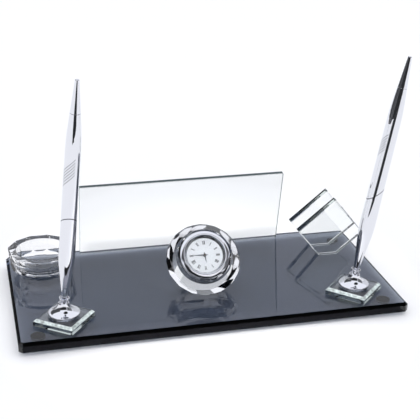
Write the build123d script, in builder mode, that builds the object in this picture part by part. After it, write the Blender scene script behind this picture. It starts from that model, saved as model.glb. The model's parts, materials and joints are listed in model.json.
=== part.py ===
from build123d import *
from math import atan2, cos, degrees, radians, sin, sqrt, tan
import os

# Desk stand: a smoked glass base that carries two chromed pens in ball sockets, a clear nameplate,
# a cut crystal clock, a two-plate card holder and a cut crystal dish.
# Millimetres. X runs to the right, Y to the back and Z up.
# The origin is on the desk, under the middle of the base.

os.makedirs("parts", exist_ok=True)

# Base slab and its bumper feet
base_length = 280.0
base_width = 140.0
base_thickness = 7.5
base_top_arris = 2.0
base_under_arris = 0.8
base_corner_clip = 2.5
glue_line = 0.1
foot_diameter = 10.0
foot_height = 2.5
foot_rounding = 1.5
foot_inset_x = 14.0
foot_inset_y = 15.0

# Nameplate, glued on its lower edge and leaning a little to the front
plate_length = 162.0
plate_height = 62.0
plate_thickness = 4.0
plate_lean = 11.0
plate_arris = 0.5
plate_inset_left = 57.5
plate_inset_back = 9.8

# Card holder: two square plates, each stood on a cut-off corner
card_side = 38.5
card_thickness = 6.0
card_gap = 13.5
card_turn = 39.5
card_corner_cut = 7.5
card_arris = 0.4
card_corner_inset_right = 31.0
card_inset_back = 50.0

# Crystal dish, outside and inside radii, heights above the slab
dish_rim_radius = 24.8
dish_belly_radius = 22.8
dish_belly_height = 5.8
dish_foot_radius = 12.0
dish_height = 19.0
dish_mouth_radius = 19.2
dish_floor_radius = 9.0
dish_floor_height = 5.0
dish_facets = 12
dish_bowl_bend = 50.0
dish_inset_left = 26.0
dish_inset_back = 33.5

# Clock crystal: a cut stone that lies on one of its back facets, with the clock in its front table
crystal_table_margin = 2.0
crystal_crown_width = 8.0
crystal_crown_height = 10.1
crystal_back_depth = 17.0
crystal_scallop = 0.5
crystal_edge_slope = 62.0
crystal_foot_cut = 0.3
crystal_lift = 1.4
crystal_facets = 16
crystal_crown_overrun = 1.0
clock_tilt = 44.0
clock_turn = -5.0
clock_from_centre = 0.0
clock_inset_front = 59.0

# Clock insert, radii and depths from the crystal's table
insert_bore_depth = 9.3
insert_clearance = 0.1
bezel_lap = 0.65
bezel_height = 2.3
bezel_gap = 0.05
bezel_edge_height = 0.7
bezel_crown_width = 1.3
bezel_lip_width = 0.9
bezel_lip_drop = 0.25
bezel_groove_outer = 0.7
bezel_groove_inner = 0.5
bezel_groove_drop = 0.6
bezel_bead_drop = 0.3
bezel_mouth_drop = 0.45
bezel_shoulder_depth = 0.4
bezel_mouth_lip = 0.4
bezel_spigot_depth = 1.0
lens_thickness = 1.0
lens_lip = 0.6
lens_rebate = 0.5
case_radius = 16.6
case_wall = 0.8
case_depth = 8.0
gasket_wall = 0.9
gasket_start = 1.4
gasket_length = 4.2
gasket_bead = 0.35
dial_clearance = 0.4
dial_thickness = 0.4
dial_depth = 1.2
dial_ring_width = 2.2
dial_ring_height = 1.5
dial_ring_foot = 0.3
dial_ring_lip = 0.4
movement_margin = 2.0
movement_thickness = 4.7
battery_radius = 3.4
battery_height = 2.6
battery_offset_share = 0.51
battery_edge = 0.3
pocket_clearance = 0.1
back_cover_margin = 2.4
back_cover_thickness = 0.6
pry_notch_width = 3.0
pry_notch_depth = 1.6
knob_radius = 2.2
knob_height = 0.9
knob_sides = 12
knob_shaft_radius = 0.6
knob_offset_share = 0.45
arbor_radius = 0.40
pipe_radius = 0.80
arbor_end = 0.15
hand_thickness = 0.2
hand_gap = 0.3
minute_hand_share = 0.70
hour_hand_share = 0.47
hand_tail = 2.2
minute_hand_width = 0.7
hour_hand_width = 0.9
minute_boss_radius = 0.9
hour_boss_radius = 1.3
hours_shown = 5.75

# Pen stands: bevelled glass pads with bell flanges, heights above the pad
stand_inset_side = 33.4
stand_inset_front = 26.2
pad_side = 31.0
pad_thickness = 5.0
pad_bevel = 1.8
left_pad_turn = 52.5
right_pad_turn = 45.0
flange_radius = 11.1
flange_rim_height = 2.2
flange_rim_rounding = 0.5
neck_radius = 4.0
neck_top = 9.6
neck_edge = 0.4
neck_straight = 0.6
retainer_radius = 9.2
retainer_thickness = 0.8
retainer_recess = 1.0
washer_radius = 3.4
washer_hole_radius = 1.6
washer_thickness = 0.3
seat_radius = 3.65
seat_base = 2.0
ball_height = 7.0
ball_radius = 3.2
ball_clearance = 0.1
neck_lip_above_ball = 1.7

# Pen sockets and pens, radii and stations along the pen from the ball's centre
socket_stem_radius = 1.7
socket_stem_top = 3.9
socket_mouth_radius = 3.6
socket_mouth_bore = 3.1
socket_mouth_top = 6.3
socket_rim_height = 0.5
socket_rim_edge = 0.15
socket_throat_radius = 1.6
socket_throat_height = 4.5
socket_bore_base = -1.9
nib_clearance = 0.1
nose_start = 1.0
nose_radius = 0.9
nose_shoulder = 2.8
nose_shoulder_radius = 1.05
cone_start_radius = 1.9
cone_end = 32.0
cone_end_radius = 5.1
barrel_full = 41.0
barrel_radius = 5.6
middle_seam = 65.8
middle_radius = 5.4
seam_slope = 43.0
seam_gap = 0.05
seam_overrun = 1.0
upper_straight_end = 118.0
upper_straight_radius = 5.1
tail_seam = 143.7
tail_radius = 3.45
tail_groove = 0.35
pen_top = 166.0
pen_top_radius = 1.35
pen_top_rounding = 0.5
sleeve_start = 50.0
sleeve_end = 80.0
sleeve_bore_radius = 3.2
sleeve_web = 2.0
lower_bore_radius = 4.25
lower_bore_start = 48.0
slide_clearance = 0.08
tail_spigot_length = 8.0
tail_spigot_radius = 2.2
tail_spigot_shoulder = 1.0
refill_radius = 1.2
refill_top = 65.5
refill_tip_radius = 0.6
refill_tip_start = -1.5
refill_tip_end = 10.0
refill_needle_length = 7.5
refill_ball_length = 2.3
refill_upper_bore = 2.7
refill_clearance = 0.15
left_pen_heading = -58.0
left_pen_tilt = 8.0
left_pen_spin = -95.0
right_pen_heading = 4.0
right_pen_tilt = 10.0
right_pen_spin = -10.0

# Levels and edges that follow from the sizes above
base_top = foot_height + base_thickness
glass_foot = base_top + glue_line
left_edge = -base_length / 2
right_edge = base_length / 2
front_edge = -base_width / 2
back_edge = base_width / 2


def half_profile(frame):
    """Plane for the half profile of a turned piece: X is the radius, Y runs along the frame's axis."""
    return Plane(origin=frame.origin, x_dir=frame.x_dir, z_dir=-frame.y_dir)


def own_axis(frame):
    """Axis that a turned piece on this frame is turned about."""
    return Axis(frame.origin, frame.z_dir)


def facet_plane(frame, turn, slope, radius, height=0.0):
    """Plane of one cut facet. It passes through the radius and height given, in the direction turn,
    and faces outward and away from the frame's axis end, at slope degrees from the frame's plane."""
    outward = frame.x_dir * cos(radians(turn)) + frame.y_dir * sin(radians(turn))
    normal = outward * sin(radians(slope)) - frame.z_dir * cos(radians(slope))
    return Plane(origin=frame.origin + outward * radius + frame.z_dir * height, z_dir=normal)


# Base slab: polished plate with clipped corners and a wide polished arris round the top
with BuildPart() as base_slab:
    with BuildSketch(Plane.XY.offset(foot_height)):
        slab_outline = Rectangle(base_length, base_width)
        chamfer(slab_outline.vertices(), base_corner_clip)
    extrude(amount=base_thickness)
    chamfer(base_slab.faces().sort_by(Axis.Z)[-1].edges(), base_top_arris)
    chamfer(base_slab.faces().sort_by(Axis.Z)[0].edges(), base_under_arris)
base_slab.part.label = "base_slab"
export_step(base_slab.part, "parts/base_slab.step")

# Bumper feet: four clear domed buttons stuck under the corners
with BuildPart() as bumper_feet:
    with BuildSketch(Plane.XY):
        with GridLocations(base_length - 2 * foot_inset_x, base_width - 2 * foot_inset_y, 2, 2):
            Circle(foot_diameter / 2)
    extrude(amount=foot_height)
    fillet(bumper_feet.faces().group_by(Axis.Z)[0].edges(), foot_rounding)
bumper_feet.part.label = "bumper_feet"
export_step(bumper_feet.part, "parts/bumper_feet.step")

# Nameplate: side profile with a level lower edge, drawn at the plate's left end
plate_front = back_edge - plate_inset_back
lean_sine = sin(radians(plate_lean))
lean_cosine = cos(radians(plate_lean))
plate_top_front = (plate_front - plate_height * lean_sine, glass_foot + plate_height * lean_cosine)
plate_top_back = (
    plate_top_front[0] + plate_thickness * lean_cosine,
    plate_top_front[1] + plate_thickness * lean_sine,
)
with BuildPart() as nameplate:
    with BuildSketch(Plane.YZ.offset(left_edge + plate_inset_left)):
        with BuildLine():
            Polyline(
                (plate_front, glass_foot),
                plate_top_front,
                plate_top_back,
                (plate_front + plate_thickness / lean_cosine, glass_foot),
                close=True,
            )
        make_face()
    extrude(amount=plate_length)
    chamfer(nameplate.faces().sort_by(Axis.Z)[-1].edges(), plate_arris)
nameplate.part.label = "nameplate"
export_step(nameplate.part, "parts/nameplate.step")

# Card holder: the lowest corner of each square is cut off level, and glued down on the cut
card_corner_x = right_edge - card_corner_inset_right
card_centre_x = card_corner_x + card_side / sqrt(2) * cos(radians(card_turn + 45))
card_centre_z = glass_foot - card_corner_cut + card_side / sqrt(2) * sin(radians(card_turn + 45))


def card_plate(face_y):
    """Square plate whose front face is at face_y."""
    with BuildPart() as plate:
        with BuildSketch(Plane.XZ.offset(-face_y)):
            with Locations((card_centre_x, card_centre_z)):
                Rectangle(card_side, card_side, rotation=card_turn)
        extrude(amount=-card_thickness)
        split(bisect_by=Plane.XY.offset(glass_foot), keep=Keep.TOP)
        chamfer(plate.faces().sort_by(Axis.Y)[0].edges(), card_arris)
        chamfer(plate.faces().sort_by(Axis.Y)[-1].edges(), card_arris)
    return plate


card_front_y = back_edge - card_inset_back
card_plate_front = card_plate(card_front_y)
card_plate_front.part.label = "card_plate_front"
export_step(card_plate_front.part, "parts/card_plate_front.step")

card_plate_rear = card_plate(card_front_y + card_thickness + card_gap)
card_plate_rear.part.label = "card_plate_rear"
export_step(card_plate_rear.part, "parts/card_plate_rear.step")

# Crystal dish: a round blank cut by three rows of facets, then hollowed
dish_frame = Plane((left_edge + dish_inset_left, back_edge - dish_inset_back, glass_foot))
dish_low_slope = degrees(atan2(dish_belly_height, dish_belly_radius - dish_foot_radius))
dish_high_slope = degrees(atan2(dish_height - dish_belly_height, dish_rim_radius - dish_belly_radius))
dish_middle_slope = (dish_low_slope + dish_high_slope) / 2
dish_facet_turn = 360 / dish_facets
dish_blank_radius = dish_rim_radius / cos(radians(dish_facet_turn / 2))
dish_bowl_middle = (
    dish_floor_radius + (dish_mouth_radius - dish_floor_radius) * sin(radians(dish_bowl_bend)),
    dish_floor_height + (dish_height - dish_floor_height) * (1 - cos(radians(dish_bowl_bend))),
)
with BuildPart() as crystal_dish:
    with BuildSketch(dish_frame):
        Circle(dish_blank_radius)
    extrude(amount=dish_height)
    for facet in range(dish_facets):
        turn = facet * dish_facet_turn
        split(
            bisect_by=facet_plane(dish_frame, turn, dish_low_slope, dish_foot_radius),
            keep=Keep.BOTTOM,
        )
        split(
            bisect_by=facet_plane(
                dish_frame,
                turn + dish_facet_turn / 2,
                dish_middle_slope,
                dish_belly_radius,
                dish_belly_height,
            ),
            keep=Keep.BOTTOM,
        )
        split(
            bisect_by=facet_plane(dish_frame, turn, dish_high_slope, dish_rim_radius, dish_height),
            keep=Keep.BOTTOM,
        )
    with BuildSketch(half_profile(dish_frame)):
        with BuildLine():
            Line((0, dish_height), (0, dish_floor_height))
            Line((0, dish_floor_height), (dish_floor_radius, dish_floor_height))
            ThreePointArc(
                (dish_floor_radius, dish_floor_height), dish_bowl_middle, (dish_mouth_radius, dish_height)
            )
            Line((dish_mouth_radius, dish_height), (0, dish_height))
        make_face()
    revolve(axis=own_axis(dish_frame), mode=Mode.SUBTRACT)
crystal_dish.part.label = "crystal_dish"
export_step(crystal_dish.part, "parts/crystal_dish.step")

# Radii that follow from the clock case: outward to the crystal, and inward to the dial and movement
insert_radius = case_radius + gasket_wall
insert_bore_radius = insert_radius + insert_clearance
bezel_radius = insert_bore_radius + bezel_lap
crystal_table_radius = insert_bore_radius + crystal_table_margin
crystal_girdle_radius = crystal_table_radius + crystal_crown_width
spigot_radius = case_radius - case_wall
dial_radius = spigot_radius - dial_clearance
dial_open_radius = dial_radius - dial_ring_width
bezel_mouth_radius = dial_radius - bezel_mouth_lip
movement_radius = case_radius - movement_margin
battery_offset = movement_radius * battery_offset_share
knob_offset = movement_radius * knob_offset_share
back_cover_radius = case_radius - back_cover_margin
minute_hand_length = dial_open_radius * minute_hand_share
hour_hand_length = dial_open_radius * hour_hand_share

# Clock frames: the girdle's plane inside the crystal, and the table's plane in front of it
girdle_drop = crystal_girdle_radius * cos(radians(clock_tilt))
girdle_centre_height = crystal_lift + girdle_drop
girdle_frame = Plane(
    Pos(clock_from_centre, front_edge + clock_inset_front, glass_foot + girdle_centre_height)
    * Rot(0, 0, clock_turn)
    * Rot(90 - clock_tilt, 0, 0)
)
table_frame = girdle_frame.offset(crystal_crown_height)

# Clock crystal: smooth crown cone, a row of steep facets that scallops the girdle, and a row of
# main facets at the slope that lays one of them flat on the slab
crystal_main_slope = 90 - clock_tilt
crystal_main_radius = (girdle_centre_height + crystal_foot_cut) / sin(radians(crystal_main_slope))
crystal_facet_turn = 360 / crystal_facets
crown_widening = (crystal_girdle_radius - crystal_table_radius) / crystal_crown_height
blank_radius = crystal_girdle_radius + crown_widening * crystal_crown_overrun
with BuildPart() as clock_crystal:
    with BuildSketch(half_profile(girdle_frame)):
        with BuildLine():
            Polyline(
                (0, -crystal_back_depth),
                (blank_radius, -crystal_back_depth),
                (blank_radius, -crystal_crown_overrun),
                (crystal_table_radius, crystal_crown_height),
                (0, crystal_crown_height),
                close=True,
            )
        make_face()
    revolve(axis=own_axis(girdle_frame))
    for facet in range(crystal_facets):
        turn = -90 + facet * crystal_facet_turn
        split(
            bisect_by=facet_plane(girdle_frame, turn, crystal_main_slope, crystal_main_radius),
            keep=Keep.BOTTOM,
        )
        split(
            bisect_by=facet_plane(
                girdle_frame,
                turn + crystal_facet_turn / 2,
                crystal_edge_slope,
                crystal_girdle_radius - crystal_scallop,
            ),
            keep=Keep.BOTTOM,
        )
    split(bisect_by=Plane.XY.offset(glass_foot), keep=Keep.TOP)
    with BuildSketch(table_frame):
        Circle(insert_bore_radius)
    extrude(amount=-insert_bore_depth, mode=Mode.SUBTRACT)
clock_crystal.part.label = "clock_crystal"
export_step(clock_crystal.part, "parts/clock_crystal.step")

# Clock case: a cup behind the bezel, open at the back for the cover
case_top = -bezel_shoulder_depth
case_back = -case_depth
with BuildPart() as clock_case:
    with BuildSketch(half_profile(table_frame)):
        with BuildLine():
            Polyline(
                (case_radius, case_top),
                (case_radius, case_back),
                (back_cover_radius - case_wall, case_back),
                (back_cover_radius - case_wall, case_back + case_wall),
                (spigot_radius, case_back + case_wall),
                (spigot_radius, case_top),
                close=True,
            )
        make_face()
    revolve(axis=own_axis(table_frame))
clock_case.part.label = "clock_case"
export_step(clock_case.part, "parts/clock_case.step")

# Bezel: polished ring that laps over the crystal, holds the lens and plugs into the case
lens_top = bezel_height - lens_lip
lens_bottom = lens_top - lens_thickness
lens_radius = bezel_mouth_radius + lens_rebate
with BuildPart() as clock_bezel:
    with BuildSketch(half_profile(table_frame)):
        with BuildLine():
            bezel_outer = Line((bezel_radius, bezel_gap), (bezel_radius, bezel_gap + bezel_edge_height))
            Line((insert_radius, bezel_gap), bezel_outer @ 0)
            bezel_crown = Spline(
                bezel_outer @ 1,
                (bezel_radius - bezel_crown_width, bezel_height),
                tangents=((0, 1), (-1, 0)),
            )
            Polyline(
                bezel_crown @ 1,
                (bezel_mouth_radius + bezel_lip_width, bezel_height - bezel_lip_drop),
                (bezel_mouth_radius + bezel_groove_outer, bezel_height - bezel_groove_drop),
                (bezel_mouth_radius + bezel_groove_inner, bezel_height - bezel_bead_drop),
                (bezel_mouth_radius, bezel_height - bezel_mouth_drop),
                (bezel_mouth_radius, lens_top),
                (lens_radius, lens_top),
                (lens_radius, -bezel_spigot_depth),
                (spigot_radius, -bezel_spigot_depth),
                (spigot_radius, case_top),
                (insert_radius, case_top),
                (insert_radius, bezel_gap),
            )
        make_face()
    revolve(axis=own_axis(table_frame))
clock_bezel.part.label = "clock_bezel"
export_step(clock_bezel.part, "parts/clock_bezel.step")

# Lens: flat disc held up against the bezel's lip
with BuildPart() as clock_lens:
    with BuildSketch(table_frame.offset(lens_bottom)):
        Circle(lens_radius - bezel_gap)
    extrude(amount=lens_thickness - bezel_gap)
clock_lens.part.label = "clock_lens"
export_step(clock_lens.part, "parts/clock_lens.step")

# Dial ring: sloped reflector between the lens and the dial
dial_top = -dial_depth
with BuildPart() as clock_dial_ring:
    with BuildSketch(half_profile(table_frame)):
        with BuildLine():
            Polyline(
                (dial_open_radius, dial_top),
                (dial_radius, dial_top),
                (dial_radius, dial_top + dial_ring_height),
                (bezel_mouth_radius - dial_ring_lip, dial_top + dial_ring_height),
                (dial_open_radius, dial_top + dial_ring_foot),
                close=True,
            )
        make_face()
    revolve(axis=own_axis(table_frame))
clock_dial_ring.part.label = "clock_dial_ring"
export_step(clock_dial_ring.part, "parts/clock_dial_ring.step")

# Dial: thin disc with a hole for the hour pipe
pipe_hole_radius = pipe_radius + insert_clearance
with BuildPart() as clock_dial:
    with BuildSketch(table_frame.offset(dial_top - dial_thickness)):
        Circle(dial_radius)
        Circle(pipe_hole_radius, mode=Mode.SUBTRACT)
    extrude(amount=dial_thickness)
clock_dial.part.label = "clock_dial"
export_step(clock_dial.part, "parts/clock_dial.step")

# Gasket: clear ring with two gripping beads round the case
gasket_waist = insert_radius - gasket_bead
gasket_step = gasket_length / 4
with BuildPart() as clock_gasket:
    with BuildSketch(half_profile(table_frame)):
        with BuildLine():
            Polyline(
                (case_radius, -gasket_start),
                (gasket_waist, -gasket_start),
                (insert_radius, -gasket_start - gasket_step),
                (gasket_waist, -gasket_start - 2 * gasket_step),
                (insert_radius, -gasket_start - 3 * gasket_step),
                (gasket_waist, -gasket_start - gasket_length),
                (case_radius, -gasket_start - gasket_length),
                close=True,
            )
        make_face()
    revolve(axis=own_axis(table_frame))
clock_gasket.part.label = "clock_gasket"
export_step(clock_gasket.part, "parts/clock_gasket.step")

# Movement: round quartz block with the battery's pocket, the hour pipe's bore and the knob's bore
movement_top = dial_top - dial_thickness
movement_back = movement_top - movement_thickness
with BuildPart() as clock_movement:
    with BuildSketch(table_frame.offset(movement_back)):
        Circle(movement_radius)
    extrude(amount=movement_thickness)
    with BuildSketch(table_frame.offset(movement_back)):
        with Locations((battery_offset, 0)):
            Circle(battery_radius + pocket_clearance)
    extrude(amount=battery_height + pocket_clearance, mode=Mode.SUBTRACT)
    with BuildSketch(table_frame.offset(movement_back)):
        with Locations((-knob_offset, 0)):
            Circle(knob_shaft_radius + slide_clearance)
    extrude(amount=movement_thickness / 2, mode=Mode.SUBTRACT)
    with BuildSketch(table_frame.offset(movement_top)):
        Circle(pipe_hole_radius)
    extrude(amount=-movement_thickness / 2, mode=Mode.SUBTRACT)
clock_movement.part.label = "clock_movement"
export_step(clock_movement.part, "parts/clock_movement.step")

# Battery: button cell in the movement's pocket
with BuildPart() as clock_battery:
    with BuildSketch(table_frame.offset(movement_back)):
        with Locations((battery_offset, 0)):
            Circle(battery_radius)
    extrude(amount=battery_height)
    chamfer(clock_battery.edges().filter_by(GeomType.CIRCLE), battery_edge)
clock_battery.part.label = "clock_battery"
export_step(clock_battery.part, "parts/clock_battery.step")

# Back cover: snap-in disc behind the movement, with the knob's hole and a pry notch
cover_front = case_back + case_wall
with BuildPart() as clock_back_cover:
    with BuildSketch(table_frame.offset(cover_front)):
        Circle(back_cover_radius)
        with Locations((-knob_offset, 0)):
            Circle(knob_shaft_radius + 2 * slide_clearance, mode=Mode.SUBTRACT)
    extrude(amount=movement_back - cover_front)
    with BuildSketch(table_frame.offset(cover_front)):
        Circle(back_cover_radius - case_wall - insert_clearance)
        with Locations((-knob_offset, 0)):
            Circle(knob_radius + insert_clearance, mode=Mode.SUBTRACT)
        with Locations((0, back_cover_radius - case_wall)):
            Rectangle(pry_notch_width, pry_notch_depth, mode=Mode.SUBTRACT)
    extrude(amount=-back_cover_thickness)
clock_back_cover.part.label = "clock_back_cover"
export_step(clock_back_cover.part, "parts/clock_back_cover.step")

# Setting knob: small fluted wheel at the back, on a shaft into the movement
knob_front = cover_front - insert_clearance
with BuildPart() as setting_knob:
    with BuildSketch(table_frame.offset(knob_front)):
        with Locations((-knob_offset, 0)):
            RegularPolygon(knob_radius, knob_sides)
    extrude(amount=-knob_height)
    with BuildSketch(table_frame.offset(knob_front)):
        with Locations((-knob_offset, 0)):
            Circle(knob_shaft_radius)
    extrude(amount=movement_back - knob_front + movement_thickness / 2 - insert_clearance)
setting_knob.part.label = "setting_knob"
export_step(setting_knob.part, "parts/setting_knob.step")

# Hands: the hour pipe turns in the dial, and the minute arbor turns in the pipe
hour_hand_base = dial_top + hand_gap
minute_hand_base = hour_hand_base + hand_thickness + hand_gap
arbor_base = movement_top - movement_thickness / 2 + insert_clearance
arbor_top = minute_hand_base + hand_thickness + arbor_end


def hand_sketch(length, width, boss_radius, bore_radius, turn):
    """Leaf-shaped hand with a short tail, pointing up the dial before it is turned clockwise."""
    with BuildSketch(Plane.XY) as leaf:
        with BuildLine():
            Polyline(
                (0, length),
                (width / 2, length / 3),
                (width / 4, -hand_tail),
                (-width / 4, -hand_tail),
                (-width / 2, length / 3),
                close=True,
            )
        make_face()
        Circle(boss_radius)
        Circle(bore_radius, mode=Mode.SUBTRACT)
    return leaf.sketch.rotate(Axis.Z, -turn)


minute_turn = 360 * (hours_shown % 1)
hour_turn = 360 * hours_shown / 12
minute_sketch = hand_sketch(
    minute_hand_length, minute_hand_width, minute_boss_radius, arbor_radius, minute_turn
)
hour_sketch = hand_sketch(hour_hand_length, hour_hand_width, hour_boss_radius, pipe_radius, hour_turn)

with BuildPart() as minute_hand:
    with BuildSketch(table_frame.offset(minute_hand_base)):
        add(minute_sketch)
    extrude(amount=hand_thickness)
minute_hand.part.label = "minute_hand"
export_step(minute_hand.part, "parts/minute_hand.step")

with BuildPart() as hour_hand:
    with BuildSketch(table_frame.offset(hour_hand_base)):
        add(hour_sketch)
    extrude(amount=hand_thickness)
hour_hand.part.label = "hour_hand"
export_step(hour_hand.part, "parts/hour_hand.step")

with BuildPart() as minute_arbor:
    with BuildSketch(table_frame.offset(arbor_base)):
        Circle(arbor_radius)
    extrude(amount=arbor_top - arbor_base)
minute_arbor.part.label = "minute_arbor"
export_step(minute_arbor.part, "parts/minute_arbor.step")

with BuildPart() as hour_pipe:
    with BuildSketch(table_frame.offset(arbor_base)):
        Circle(pipe_radius)
        Circle(arbor_radius + slide_clearance, mode=Mode.SUBTRACT)
    extrude(amount=hour_hand_base + hand_thickness - arbor_base)
hour_pipe.part.label = "hour_pipe"
export_step(hour_pipe.part, "parts/hour_pipe.step")


def build_pen_stand(side, stand_x, pad_turn):
    """Glass pad, bell flange, retainer plate, spring washer and ball seat of one side."""
    pad_base = Plane((stand_x, front_edge + stand_inset_front, glass_foot))
    pad_top = pad_base.offset(pad_thickness)

    # Glass pad with wide polished bevels
    with BuildPart() as pen_pad:
        with BuildSketch(pad_base):
            Rectangle(pad_side, pad_side, rotation=pad_turn)
        extrude(amount=pad_thickness)
        chamfer(pen_pad.faces().sort_by(Axis.Z)[-1].edges(), pad_bevel)
    pen_pad.part.label = side + "_pen_pad"
    export_step(pen_pad.part, "parts/" + side + "_pen_pad.step")

    # Flange: disc rim that sweeps up to a narrow neck, with the ball's cavity and the seat's bore
    cavity_radius = ball_radius + ball_clearance
    lip_height = ball_height + neck_lip_above_ball
    lip_radius = sqrt(cavity_radius**2 - neck_lip_above_ball**2)
    seat_bore = seat_radius + ball_clearance
    cavity_start = ball_height - ball_clearance
    cavity_start_radius = sqrt(cavity_radius**2 - ball_clearance**2)
    cavity_middle = neck_lip_above_ball / 2
    with BuildPart() as flange:
        with BuildSketch(half_profile(pad_top)):
            with BuildLine():
                Polyline(
                    (seat_bore, retainer_recess),
                    (retainer_radius + ball_clearance, retainer_recess),
                    (retainer_radius + ball_clearance, 0),
                    (flange_radius, 0),
                    (flange_radius, flange_rim_height - flange_rim_rounding),
                )
                ThreePointArc(
                    (flange_radius, flange_rim_height - flange_rim_rounding),
                    (
                        flange_radius - flange_rim_rounding * (1 - cos(radians(45))),
                        flange_rim_height - flange_rim_rounding * (1 - sin(radians(45))),
                    ),
                    (flange_radius - flange_rim_rounding, flange_rim_height),
                )
                bell = Spline(
                    (flange_radius - flange_rim_rounding, flange_rim_height),
                    (neck_radius, neck_top - neck_straight),
                    tangents=((-1.0, 0.12), (-0.12, 1.0)),
                )
                Polyline(
                    bell @ 1,
                    (neck_radius - neck_edge, neck_top),
                    (lip_radius + neck_edge, neck_top),
                    (lip_radius, lip_height),
                )
                ThreePointArc(
                    (lip_radius, lip_height),
                    (sqrt(cavity_radius**2 - cavity_middle**2), ball_height + cavity_middle),
                    (cavity_start_radius, cavity_start),
                )
                Polyline(
                    (cavity_start_radius, cavity_start),
                    (seat_bore, cavity_start),
                    (seat_bore, retainer_recess),
                )
            make_face()
        revolve(axis=own_axis(pad_top))
    flange.part.label = side + "_flange"
    export_step(flange.part, "parts/" + side + "_flange.step")

    # Retainer plate, pressed into the flange's underside
    retainer_base = retainer_recess - retainer_thickness
    with BuildPart() as retainer:
        with BuildSketch(pad_top.offset(retainer_base)):
            Circle(retainer_radius)
        extrude(amount=retainer_thickness)
    retainer.part.label = side + "_retainer_plate"
    export_step(retainer.part, "parts/" + side + "_retainer_plate.step")

    # Spring washer: dished disc that presses the seat up against the ball
    washer_top = seat_base - ball_clearance
    with BuildPart() as washer:
        with BuildSketch(half_profile(pad_top)):
            with BuildLine():
                Polyline(
                    (washer_radius, retainer_recess),
                    (washer_radius, retainer_recess + washer_thickness),
                    (washer_hole_radius, washer_top),
                    (washer_hole_radius, washer_top - washer_thickness),
                    close=True,
                )
            make_face()
        revolve(axis=own_axis(pad_top))
    washer.part.label = side + "_spring_washer"
    export_step(washer.part, "parts/" + side + "_spring_washer.step")

    # Ball seat: nylon cup that turns in the flange under the ball
    seat_top = cavity_start - ball_clearance
    seat_top_radius = sqrt(cavity_radius**2 - (ball_height - seat_top) ** 2)
    with BuildPart() as seat:
        with BuildSketch(half_profile(pad_top)):
            with BuildLine():
                Polyline(
                    (0, ball_height - cavity_radius),
                    (0, seat_base),
                    (seat_radius, seat_base),
                    (seat_radius, seat_top),
                    (seat_top_radius, seat_top),
                )
                ThreePointArc(
                    (seat_top_radius, seat_top),
                    (cavity_radius * sin(radians(45)), ball_height - cavity_radius * cos(radians(45))),
                    (0, ball_height - cavity_radius),
                )
            make_face()
        revolve(axis=own_axis(pad_top))
    seat.part.label = side + "_ball_seat"
    export_step(seat.part, "parts/" + side + "_ball_seat.step")


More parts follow.
